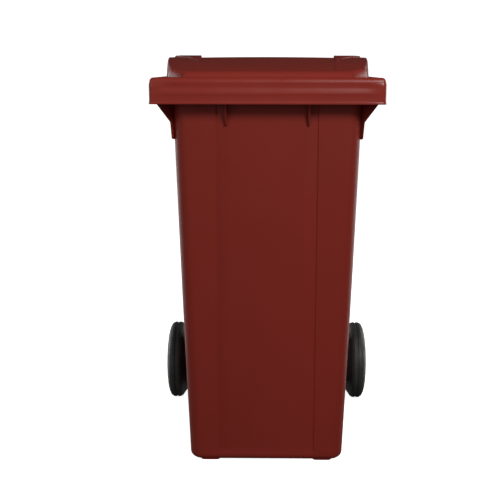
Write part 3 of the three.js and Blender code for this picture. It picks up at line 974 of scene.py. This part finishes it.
# --- the lid
@dataclass
class Lid:
    """The lid: a skirted flange, the wedge that rises from it and two arms that reach back to the pins."""

    shop: Workshop
    wall: float = 3.2
    half_front: float = 242.0
    half_back: float = 246.0
    back: float = 482.0
    margin: float = 10.0
    skirt_bottom: float = 795.5
    flange_top: float = 849.0
    wedge_depths: tuple[float, ...] = (42, 52, 98, 200, 300, 430)
    wedge_foot: tuple[float, ...] = (176, 180, 210, 222, 234, 245)
    wedge_top: tuple[float, ...] = (171, 172, 206, 220, 232, 243)
    wedge_low: float = 861.0
    wedge_high: float = 894.0
    crown: float = 3.0
    ridge: float = 52.0
    bore: float = 6.4
    lug_radius: float = 25.0
    lug: tuple[float, float] = (171.5, 228.0)
    sunk_panel: float = 2.0

    def half(self, y: float) -> float:
        """Returns the flange's half width at a depth."""
        return mix(self.half_front, self.half_back, y / self.back)

    def top(self, x: float, y: float) -> float:
        """Finds the height of the wedge's top, were it to reach that far.

        Args:
            x: how far across.
            y: the depth.

        Returns:
            The height.
        """
        way = max((y - self.ridge) / (self.back - self.ridge), 0)
        rise = 1 - (1 - way) ** 2
        u = x / along(y, self.wedge_depths, self.wedge_top)
        return mix(self.wedge_low, self.wedge_high, rise) + self.crown * rise * (1 - min(u * u, 1))

    def height(self, x: float, y: float) -> float:
        """Finds the height of the lid's upper face.

        Args:
            x: how far across.
            y: the depth.

        Returns:
            The height.
        """
        foot = along(y, self.wedge_depths, self.wedge_foot) + 1.5
        edge = along(y, self.wedge_depths, self.wedge_top) - self.rounding(y)
        climb = 1 - (1 - min(max((y - 40) / 20, 0), 1)) ** 2.6
        drop = 1 - min(max((abs(x) - edge) / (foot - edge), 0), 1) ** 2.2
        inside = climb * drop
        border = self.panel(y)
        sunk = self.sunk_panel * (1 - ease(abs(x), border - 1.5, border + 1.5)) * ease(y, 58, 70)
        return self.flange_top + inside * (self.top(x, y) - sunk - self.flange_top)

    @staticmethod
    def rounding(y: float) -> float:
        """Returns how far the rounded edge of the wedge reaches over its top at a depth."""
        return mix(6.0, 1.5, ease(y, 90, 180))

    def edge_width(self, y: float) -> float:
        """Returns how far in from the skirt's outside the upper face ends at a depth."""
        free = self.half(y) - along(y, self.wedge_depths, self.wedge_foot) - 1.5
        return min(max(free, 2.0), self.margin)

    def panel(self, y: float) -> float:
        """Returns the half width of the slightly sunken middle of the wedge."""
        return mix(139, 171.5, (y - self.ridge) / (self.back - self.ridge))

    def columns(self, y: float) -> list[float]:
        """Lists the places across the lid where its grid has points, from left to right.

        Args:
            y: the depth.

        Returns:
            The places.
        """
        foot = along(y, self.wedge_depths, self.wedge_foot) + 3
        edge = along(y, self.wedge_depths, self.wedge_top) - self.rounding(y)
        limit = self.half(y) - self.edge_width(y)
        panel = self.panel(y)
        half = spread(0, panel - 3, 12) + spread(panel - 3, panel + 3, 7)[1:]
        half += spread(panel + 3, max(edge, panel + 6), 7)[1:]
        half += spread(max(edge, panel + 6), foot, 12)[1:]
        half += spread(foot, max(limit, foot + 2), 4)[1:]
        half = [min(x, limit) for x in half]
        return [-x for x in reversed(half)] + half[1:]

    def rows(self) -> list[float]:
        """Returns the depths at which the grid has rows.

        Returns:
            The depths, front to back.
        """
        margin = self.margin
        return (
            spread(margin, 39, 4)
            + spread(39, 60, 15)[1:]
            + spread(60, 72, 4)[1:]
            + spread(72, 92, 4)[1:]
            + spread(92, 106, 5)[1:]
            + spread(106, self.back - margin, 44)[1:]
        )

    def shell(self) -> None:
        """Builds the lid's shell from its upper face, its skirt and its under face."""
        upper = [[(x, y, self.height(x, y)) for x in self.columns(y)] for y in self.rows()]
        under = self.offset(upper)
        skin = Skin().sheet(upper).sheet(under).rings(self.skirt_rings(upper, under), Ends.OPEN)
        self.shop.piece("lid_shell", skin, LID, "lid", ["lid"], crease=38)

    def offset(self, grid: list[list[Point]]) -> list[list[Point]]:
        """Moves a grid down along its own slope by the wall's thickness.

        Args:
            grid: the upper face.

        Returns:
            The under face.
        """
        moved = []
        for r, row in enumerate(grid):
            above, below = grid[max(r - 1, 0)], grid[min(r + 1, len(grid) - 1)]
            line = []
            for c, here in enumerate(row):
                across = Vector(row[min(c + 1, len(row) - 1)]) - Vector(row[max(c - 1, 0)])
                back = Vector(below[c]) - Vector(above[c])
                line.append(tuple(Vector(here) - across.cross(back).normalized() * self.wall))
            moved.append(line)
        return moved

    @staticmethod
    def rim_of(grid: list[list[Point]]) -> list[Point]:
        """Walks round a grid, counter-clockwise, and repeats each corner for the steps of its bend.

        Args:
            grid: the grid.

        Returns:
            The points of its rim.
        """
        sides = [grid[0], [row[-1] for row in grid], grid[-1][::-1], [row[0] for row in grid][::-1]]
        rim: list[Point] = []
        for points in sides:
            rim.extend(points)
            rim.extend([points[-1]] * 7)
        return rim

    @staticmethod
    def fan_of(grid: list[list[Point]]) -> list[Flat]:
        """Finds the outward direction at each point of the rim, fanned out round the corners.

        Args:
            grid: the grid.

        Returns:
            The directions, in the order of rim_of.
        """
        lengths = [len(grid[0]), len(grid)] * 2
        fan: list[Flat] = []
        for angle, count in zip((-90, 0, 90, 180), lengths, strict=True):
            turns = [angle] * count + [angle + 90 * t for t in spread(0, 1, 8)[1:-1]]
            fan.extend([(math.cos(math.radians(a)), math.sin(math.radians(a))) for a in turns])
        return fan

    def skirt_rings(self, upper: list[list[Point]], under: list[list[Point]]) -> list[list[Point]]:
        """Returns rings from the upper face's rim, down the outside of the skirt and up its inside.

        Args:
            upper: the upper face.
            under: the under face.

        Returns:
            The rings, the last one on the rim of the under face.
        """
        rim, fan = self.rim_of(upper), self.fan_of(upper)
        reach = [
            mix(self.edge_width(p[1]), self.margin, ease(abs(d[1]), 0, 1))
            for p, d in zip(rim, fan, strict=True)
        ]
        low = [mix(self.skirt_bottom, 845.0, ease(d[1], 0.05, 0.6)) for d in fan]
        calm = [self.calm(p) for p in rim]
        outside = [
            (836.5, 2.1), (829.5, 2.2), (827.8, 2.05), (826.4, 1.7), (820, 0.25), (818.6, 0.05), (817, 0),
            (815, 0.1), (813.6, 0.4), (811.5, 0.65), (804, 0.7), (801.4, 0.55), (800, 0.25), (798.8, 0.05),
            (797.2, 0), (795.9, 0.4), (795.5, 1.2),
        ]
        inside = [(795.5, 2.4), (796.1, 3.1), (800, 3.3), (820, 3.3), (838, 3.3), (841, 3.5)]

        def ring(inset: Callable[[int], float], height: Callable[[int], float]) -> list[Point]:
            """Returns a ring whose points stand in from the skirt's outside, each at its own height.

            Args:
                inset: gives how far in a point stands.
                height: gives a point's height.

            Returns:
                The ring.
            """
            row = []
            for i, (p, d) in enumerate(zip(rim, fan, strict=True)):
                out = reach[i] - inset(i)
                row.append((p[0] + d[0] * out, p[1] + d[1] * out, height(i)))
            return row

        rings = [rim]
        for a in spread(0, math.pi / 2, 7)[1:]:
            drop = 11 * (1 - math.cos(a))
            swing = math.sin(a)
            rings.append(
                ring(
                    lambda i: reach[i] - max(reach[i] - 1.8, 0.1) * swing,
                    lambda i: max(rim[i][2] - drop, low[i]),
                )
            )
        for z, inset in outside:
            plain = 0.9 if z > 799 else inset
            rings.append(
                ring(lambda i: mix(plain, inset, calm[i]), lambda i: max(min(z, rim[i][2] - 11.2), low[i]))
            )
        for z, inset in inside:
            step = 0.6 if z > 798 else 0.0
            rings.append(ring(lambda i: inset, lambda i: min(max(z, low[i] + step), rim[i][2] - self.wall)))
        rings.append(self.rim_of(under))
        return rings

    @staticmethod
    def calm(p: Point) -> float:
        """Returns how strongly the moulded line of the skirt shows: it fades towards the corners.

        Args:
            p: a point of the rim.

        Returns:
            The strength, from 0 to 1.
        """
        if p[1] < 12:
            return 1 - ease(abs(p[0]), 206, 228)
        return ease(p[1], 26, 60) * (1 - ease(p[1], 400, 440))

    def arms(self) -> None:
        """Builds the two arms: ramps out of the wedge, webs behind them and lugs round the pins."""
        y, z = self.shop.datum.hinge
        skin = Skin()
        rings = []
        for depth in [226, 234, 244] + spread(256, 460, 12) + [468, 476, 484]:
            inner = along(depth, (226, 484), (150.5, 171.6))
            outer = along(depth, (226, 466, 476, 484), (152.5, 236, 233, 228.2))
            rise = along(depth, (226, 244, 320, 460, 484), (-0.6, 0.9, 3.0, 3.4, 2.0))
            middle = self.top((inner + outer) / 2, min(depth, self.back))
            high = middle + rise
            low = 862 if depth > 480 else middle - 6
            r = min(2.4, (outer - inner) * 0.4)
            draft = min(5.0, (outer - inner) * 0.3)
            ramp = [(outer, low), (outer - draft, high, r), (inner + 0.6, high, r), (inner, low)]
            rings.append([(x, depth, h) for x, h in soften(ramp, 0, 6)])
        skin.rings(rings)
        web = soften([(476, 858), (502, 859, 10), (y, z - 24)], 0, 6) + arc((y, z), 12, 270, 90, 12)
        web += [(y - 8, 893), (482, 896), (476, 896)]
        skin.plate(web, 171.6, 228.0)
        near, far = self.lug
        rim = self.lug_radius
        skin.turned([(near, self.bore), (near, rim), (far, rim), (far, self.bore)], (y, z))
        self.shop.piece("lid_arms", skin.mirrored(), LID, "lid", bevel=1.6)

    def under_ribs(self) -> None:
        """Builds the stiffening ribs on the lid's under face."""
        skin = Skin()
        for x in (44.0, 118.0):
            roof = [(y, self.height(x, y) - self.wall + 1.5) for y in spread(58, 470, 24)]
            floor = [(y, max(h - mix(6, 11, ease(y, 58, 140)), 846.5)) for y, h in reversed(roof)]
            skin.plate(roof + floor, x - 1.3, x + 1.3)
        skin.mirrored()
        for y in (150.0, 260.0, 370.0):
            reach = along(y, self.wedge_depths, self.wedge_top) - 12
            xs = spread(-reach, reach, 30)
            roof = [(x, self.height(x, y) - self.wall + 1.5) for x in xs]
            floor = [(x, h - 9) for x, h in reversed(roof)]
            skin.rings([[(x, yy, h) for x, h in roof + floor] for yy in (y - 1.3, y + 1.3)])
        self.shop.piece("lid_under_ribs", skin, LID, "lid", bevel=0.6)

    def build(self) -> None:
        """Builds every piece of the lid."""
        for part in (self.shell, self.arms, self.under_ribs):
            part()


# --- running gear
class Side(Enum):
    """A side of the bin as seen from the front."""

    LEFT = "left"
    RIGHT = "right"

    def of(self, skin: Skin) -> Skin:
        """Returns a skin drawn for the right as it is on this side."""
        return skin.flipped() if self is Side.LEFT else skin


@dataclass
class Wheels:
    """The steel axle and the two wheels with what keeps them on it."""

    shop: Workshop
    radius: float = 100.0
    inside: float = 207.0
    outside: float = 260.0
    seat: float = 68.0
    boss: float = 22.0
    spokes: int = 8

    def turned(
        self, name: str, profile: Sequence[Flat], finish: Finish, side: Side, body: str, sides: int = 64
    ) -> None:
        """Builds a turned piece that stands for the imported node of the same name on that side.

        Args:
            name: the piece's name without its side.
            profile: (x, radius) points of a closed loop, as for the right.
            finish: what it is made of.
            side: the side it is on.
            body: the body it moves with, with {} for the side.
            sides: faces round the axle.
        """
        skin = side.of(Skin().turned(profile, self.shop.datum.axle, sides))
        label = f"{name}_{side.value}"
        self.shop.piece(label, skin, finish, body.format(side.value), [label])

    def tyre(self, side: Side) -> None:
        """Builds a tyre: a grooved tread, rounded shoulders and two fine rings on each wall.

        Args:
            side: the side it is on.
        """
        i, o, s, r = self.inside, self.outside, self.seat, self.radius
        corners = [
            (i + 1, s + 0.3), (i, s + 5, 2), (i + 1.6, s + 8.6, 1), (i + 2.2, s + 9.6, 0.4),
            (i + 3.4, s + 10, 0.5), (i + 6.8, s + 15.5, 3), (i + 11, r - 11, 5), (i + 15, r - 4.4, 6),
            (i + 21, r - 0.5, 4), (i + 27.4, r, 0.8),
            (i + 28.4, r - 2.2, 0.7), (i + 31.2, r - 2.2, 0.7), (i + 32.2, r, 0.8), (o - 14.5, r - 0.2, 3),
            (o - 8.4, r - 4.2, 4), (o - 4, r - 13, 6), (o - 2.8, r - 17.8, 0.6), (o - 3.4, r - 18.8, 0.4),
            (o - 2.1, r - 19.8, 0.6), (o - 1.2, r - 25, 3), (o - 1, s + 0.3),
        ]
        self.turned("tyre", soften(corners, 0.6, 5), TYRE, side, "wheel_{}", 160)

    def hub(self, side: Side) -> None:
        """Builds a hub: rim, dished disc, spokes on both faces and the boss.

        Args:
            side: the side it is on.
        """
        i, o, s, b = self.inside, self.outside, self.seat, self.boss
        disc = [
            (205.2, 13.3), (205.2, b, 1.5), (224, b + 1.5, 4), (227, b + 9, 5), (228, s - 12, 5),
            (225, s - 6, 3), (i + 2, s - 6, 1), (i + 2, s, 1), (i + 6, s, 0.5), (o - 5, s, 0.5),
            (o - 1.5, s, 1), (o, s - 1.5, 0.8), (o, s - 5, 1), (o - 2, s - 6, 1), (239, s - 7.5, 4),
            (235.5, s - 13, 5), (235, b + 8, 5), (237, b + 1, 2), (237, b, 0.4), (246, b, 1), (246, 13.3),
        ]
        y, z = self.shop.datum.axle
        skin = Skin().turned(soften(disc, 0.3, 5), (y, z), 112)
        inner = [(212, b - 1), (212, b + 2, 2), (214, s - 14, 8), (211, s - 4.5)]
        outer = [(251, s - 4.5), (246, s - 14, 8), (241, b + 3.5, 3), (238, b - 1)]
        web = soften(inner + outer, 0, 5)
        for k in range(self.spokes):
            a = math.tau * (k + 0.5) / self.spokes
            rings = []
            for w in (-2.0, 2.0):
                rings.append([
                    (x, y + r * math.cos(a) - w * math.sin(a), z + r * math.sin(a) + w * math.cos(a))
                    for x, r in web
                ])
            skin.rings(rings)
        name = f"wheel_hub_{side.value}"
        self.shop.piece(name, side.of(skin), BLACK, f"wheel_{side.value}", [name], bevel=0.7)

    def small_parts(self, side: Side) -> None:
        """Builds the bush, spacer, washer, push ring and cap of one wheel.

        Args:
            side: the side they are on.
        """
        b, o = self.boss, self.outside
        bush = [(205.35, 10.35), (205.35, 12.9), (245.6, 12.9), (245.6, 10.35)]
        self.turned("wheel_bush", soften(bush, 0.4, 3), NYLON, side, "wheel_{}")
        spacer = [
            (176.1, 10.3), (176.1, 15, 1.2), (180, 15, 0.5), (181.5, 13.8, 0.8),
            (199, 13.8, 0.8), (200.5, 15, 0.5), (204.4, 15, 1.2), (204.4, 10.3),
        ]
        self.turned("axle_spacer", soften(spacer, 0.3, 4), BLACK, side, "tub")
        washer = [(246.45, 10.3), (246.45, 17), (247.95, 17), (247.95, 10.3)]
        self.turned("thrust_washer", soften(washer, 0.4, 3), STEEL, side, "tub")
        ring = [(248.4, 10.3), (248.4, 15.5), (249.4, 15.5), (250.6, 12.5), (250.6, 10.3)]
        self.turned("push_ring", soften(ring, 0.25, 3), STEEL, side, "tub")
        cap = [
            (238.2, b + 0.3), (238.2, b + 2.3, 0.5), (o - 6.5, b + 2.3, 3), (o - 1.8, b - 2, 2.5),
            (o - 0.2, b - 7.5, 1.5), (o - 0.4, b - 9, 0.5), (o - 1.4, b - 9.8, 0.5), (o - 1.6, b - 14, 2),
            (o - 0.6, 5, 2), (o - 0.6, 0.0),
            (o - 2.6, 0.0), (o - 3.4, b - 9, 2), (o - 4.6, b - 4, 1), (o - 7.4, b + 0.3, 1),
        ]
        self.turned("hub_cap", soften(cap, 0.3, 4), BLACK, side, "wheel_{}", 80)

    def axle(self) -> None:
        """Builds the axle with its chamfered, grooved ends."""
        end = [(0.0, 10.0), (247, 10), (247.6, 9.6), (251, 9.6), (252, 8.4), (252, 0.0)]
        profile = [(-x, r) for x, r in reversed(end)] + end[1:]
        skin = Skin().turned(profile, self.shop.datum.axle, 64, Ends.OPEN)
        self.shop.piece("axle", skin, STEEL, "tub", ["axle"])

    def build(self) -> None:
        """Builds the axle and both wheels."""
        self.axle()
        for side in Side:
            self.tyre(side)
            self.hub(side)
            self.small_parts(side)


@dataclass
class Fittings:
    """The hinge pins and the rubber buffers under the lid."""

    shop: Workshop
    rim_top: float = 840.0
    spots: tuple[tuple[str, float, float], ...] = (
        ("front_left", -150, 20),
        ("front_right", 150, 20),
        ("side_left", -216, 345),
        ("side_right", 216, 345),
    )

    def pins(self) -> None:
        """Builds the hinge pins, each with a domed head and a shallow round recess in its end."""
        profile = [
            (148, 0.0), (148, 4.6, 0.8), (150.5, 6, 0.8), (239.4, 6, 0.2), (239.8, 9.5, 0.5),
            (242.6, 9.5, 1.2), (244.3, 6.5, 1.5), (244.3, 4, 0.4), (243.2, 3.6, 0.4), (243.2, 0.0),
        ]
        for side in Side:
            skin = side.of(Skin().turned(soften(profile, 0.0, 4), self.shop.datum.hinge, 48, Ends.OPEN))
            name = f"hinge_pin_{side.value}"
            self.shop.piece(name, skin, BLACK, "tub", [name])

    def buffers(self) -> None:
        """Builds the mushroom-shaped rubber buffers."""
        stem = [(0, -9), (2.2, -9, 0.8), (4.8, -5.2, 0.6), (4.8, -3.9, 0.3), (3.5, -3.8), (3.5, 0.3)]
        head = [(8, 0.4, 0.5), (8, 3.6, 1.4), (6.2, 5.1, 1.5), (0, 5.1)]
        circle = [math.tau * k / 40 for k in range(40)]
        for label, x, y in self.spots:
            rings = [
                [(x + r * math.cos(a), y + r * math.sin(a), self.rim_top + h) for a in circle]
                for r, h in soften(stem + head, 0.0, 4)
            ]
            name = f"lid_buffer_{label}"
            self.shop.piece(name, Skin().rings(rings, Ends.OPEN), BUFFER, "tub", [name])

    def build(self) -> None:
        """Builds the pins and the buffers."""
        self.pins()
        self.buffers()


# --- the studio
@dataclass(frozen=True)
class Softbox:
    """A large square light that points at the bin."""

    name: str
    place: Point
    size: float
    power: float
    aim: Point = (0.0, 0.0, 0.45)

    def build(self) -> None:
        """Adds the light to the scene."""
        data = bpy.data.lights.new(self.name, "AREA")
        data.shape = "SQUARE"
        data.size = self.size
        data.energy = self.power
        lamp = bpy.data.objects.new(self.name, data)
        lamp.location = self.place
        way = Vector(self.aim) - Vector(self.place)
        lamp.rotation_euler = way.to_track_quat("-Z", "Y").to_euler()
        bpy.context.scene.collection.objects.link(lamp)


@dataclass
class Set:
    """The floor with its backdrop, the sky, the lights and the camera."""

    datum: Datum
    camera_back: float = 1.866
    camera_high: float = 0.8685
    pitch: float = 11.3
    pan: float = 0.54
    roll: float = 0.1
    lens: float = 65.66
    shift: float = -0.0310
    softboxes: tuple[Softbox, ...] = (
        Softbox("key", (1.1, -2.4, 2.42), 0.9, 94.0),
        Softbox("fill", (-2.3, -2.6, 1.9), 2.0, 26.0),
        Softbox("rear_left", (-3.1, 2.0, 0.6), 2.8, 100.0),
        Softbox("rear_right", (3.1, 2.0, 0.6), 2.8, 100.0),
    )

    def floor(self) -> None:
        """Builds a floor that sweeps up into a backdrop all round.

        Only the camera sees it, so that the sky alone sets how bright the bin's undersides are.
        """
        reach, bend, high = 7.0, 2.5, 6.0
        profile = [(0.0, 0.0)] + [(reach * t, 0.0) for t in (0.3, 0.6, 1.0)]
        turn = spread(0, math.pi / 2, 10)[1:]
        profile += [(reach + bend * math.sin(a), bend * (1 - math.cos(a))) for a in turn]
        profile.append((reach + bend, high))
        circle = [math.tau * k / 64 for k in range(64)]
        rings = [[(r * math.cos(a), r * math.sin(a), h) for a in circle] for r, h in profile]
        skin = Skin().rings(rings, Ends.OPEN)
        mesh = bpy.data.meshes.new("studio_floor")
        mesh.from_pydata([Vector(p) for p in skin.points], [], skin.faces)
        mesh.polygons.foreach_set("use_smooth", [True] * len(mesh.polygons))
        mesh.materials.append(FLOOR.material())
        floor = bpy.data.objects.new("studio_floor", mesh)
        floor.visible_diffuse = False
        floor.visible_glossy = False
        floor.visible_shadow = False
        bpy.context.scene.collection.objects.link(floor)

    def sky(self) -> None:
        """Sets a soft sky, brightest above the front and dim behind, that fills the shadows."""
        world = bpy.data.worlds.new("studio")
        world.use_nodes = True
        tree = world.node_tree
        way = tree.nodes.new("ShaderNodeVectorMath")
        way.operation = "DOT_PRODUCT"
        way.inputs[1].default_value = (0.0, -0.92, 0.39)
        shade = tree.nodes.new("ShaderNodeMapRange")
        for key, value in (("From Min", -0.5), ("From Max", 0.8), ("To Min", 0.03), ("To Max", 0.4)):
            shade.inputs[key].default_value = value
        tree.links.new(tree.nodes.new("ShaderNodeTexCoord").outputs["Generated"], way.inputs[0])
        tree.links.new(way.outputs["Value"], shade.inputs["Value"])
        tree.links.new(shade.outputs["Result"], tree.nodes["Background"].inputs["Strength"])
        tree.nodes["Background"].inputs["Color"].default_value = (1.0, 1.0, 1.0, 1.0)
        bpy.context.scene.world = world
        bpy.context.scene.view_settings.view_transform = "Standard"

    def camera(self) -> None:
        """Places the camera in front of the bin, near the height of its rim, tipped down a little."""
        data = bpy.data.cameras.new("camera")
        data.sensor_width = 36.0
        data.lens = self.lens
        data.shift_x = self.shift
        camera = bpy.data.objects.new("camera", data)
        camera.matrix_world = (
            Matrix.Translation((0.0, self.datum.front - self.camera_back, self.camera_high))
            @ Matrix.Rotation(math.radians(self.pan), 4, "Z")
            @ Matrix.Rotation(math.radians(90 - self.pitch), 4, "X")
            @ Matrix.Rotation(math.radians(self.roll), 4, "Z")
        )
        bpy.context.scene.collection.objects.link(camera)
        bpy.context.scene.camera = camera

    def build(self) -> None:
        """Builds the whole set."""
        self.floor()
        self.sky()
        self.camera()
        for box in self.softboxes:
            box.build()


def main() -> None:
    """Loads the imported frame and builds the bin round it."""
    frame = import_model()
    datum = Datum.of(frame)
    shop = Workshop(datum)
    for part in (Tub(shop), Lid(shop), Wheels(shop), Fittings(shop), Set(datum)):
        log.info("building the %s", type(part).__name__.lower())
        part.build()


if __name__ == "__main__":
    logging.basicConfig(level=logging.INFO, format="%(name)s: %(message)s")
    main()
